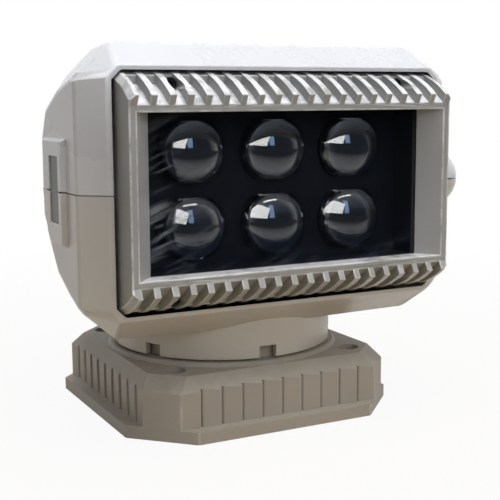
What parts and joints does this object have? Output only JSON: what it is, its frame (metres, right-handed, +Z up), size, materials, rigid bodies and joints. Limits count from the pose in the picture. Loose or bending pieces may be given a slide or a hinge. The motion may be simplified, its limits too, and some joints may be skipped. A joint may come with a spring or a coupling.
{
  "type": "marine searchlight",
  "caption": "Boxy marine searchlight: a faceted grey head pans on a ribbed square base and carries a tilting lamp with a finned bezel and convex lenses behind flat glass.",
  "frame": {"origin": "on the mounting face, under the middle of the square foot, on the pan axis", "axes": "+Z up along the pan axis, the lamp looks along -Y at rest, +X to the right seen from the front"},
  "size_m": [0.2481, 0.1909, 0.2168],
  "materials": {
    "base_paint": "matt taupe paint on cast metal",
    "shell_paint": "gloss light grey paint on cast metal",
    "bezel_paint": "satin grey paint on cast metal",
    "cover_plastic": "dark grey moulded plate",
    "aluminium": "bare, as machined",
    "steel": "bright",
    "black_steel": "black oxide",
    "rubber": "matt black",
    "nylon": "natural",
    "brass": "cut",
    "black_plastic": "black, fine texture",
    "motor": "dark grey",
    "board": "green board",
    "emitter": "yellow phosphor",
    "glass": "clear, slightly tinted",
    "lens": "clear, polished"
  },
  "bodies": {
    "base": {"base_casting": "base_paint", "bottom_plate": "aluminium", "base_gasket": "rubber", "bottom_plate_screws": "steel", "cable_grommet": "rubber", "pan_bearing_outer_race": "steel", "pan_bearing_balls": "steel", "pan_gear": "nylon", "pan_seal": "rubber"},
    "housing": {"upper_shell": "shell_paint", "lower_shell": "shell_paint", "shell_gasket": "rubber", "shell_screws": "steel", "side_cover": "cover_plastic", "tilt_bush_left": "black_plastic", "tilt_bush_right": "black_plastic", "tilt_gear": "nylon", "pan_spindle": "aluminium", "spindle_nut": "steel", "spindle_screws": "steel", "pan_bearing_inner_race": "steel", "pan_motor": "motor", "control_board": "board"},
    "lamp": {"bezel": "bezel_paint", "bezel_screws": "black_steel", "lamp_body": "bezel_paint", "lamp_gasket": "rubber", "front_glass": "glass", "glass_gasket": "rubber", "lens_tray": "black_plastic", "lens_1": "lens", "lens_2": "lens", "lens_3": "lens", "lens_4": "lens", "lens_5": "lens", "lens_6": "lens", "led_board": "aluminium", "led_emitters": "emitter", "heat_sink": "aluminium", "trunnion_left": "aluminium", "trunnion_right": "aluminium", "tilt_motor": "motor"},
    "pan_pinion": {"pan_pinion": "brass"},
    "tilt_pinion": {"tilt_pinion": "brass"}
  },
  "joints": [
    {"name": "pan", "type": "hinge", "parent": "base", "child": "housing", "pos_m": [0, 0, 0.04], "axis": [0, 0, 1], "range_deg": [-180, 180]},
    {"name": "tilt", "type": "hinge", "parent": "housing", "child": "lamp", "pos_m": [0, -0.0635, 0.1383], "axis": [-1, 0, 0], "range_deg": [-45, 45]},
    {"name": "pan_pinion_spin", "type": "hinge", "parent": "housing", "child": "pan_pinion", "pos_m": [0, 0.0452, 0.04], "axis": [0, 0, 1], "range_deg": [-720, 720]},
    {"name": "tilt_pinion_spin", "type": "hinge", "parent": "lamp", "child": "tilt_pinion", "pos_m": [0, -0.0333, 0.1383], "axis": [-1, 0, 0], "range_deg": [-135, 135]}
  ],
  "couplings": [
    {"joint": "pan_pinion_spin", "follows": "pan", "ratio": 4},
    {"joint": "tilt_pinion_spin", "follows": "tilt", "ratio": 3}
  ]
}
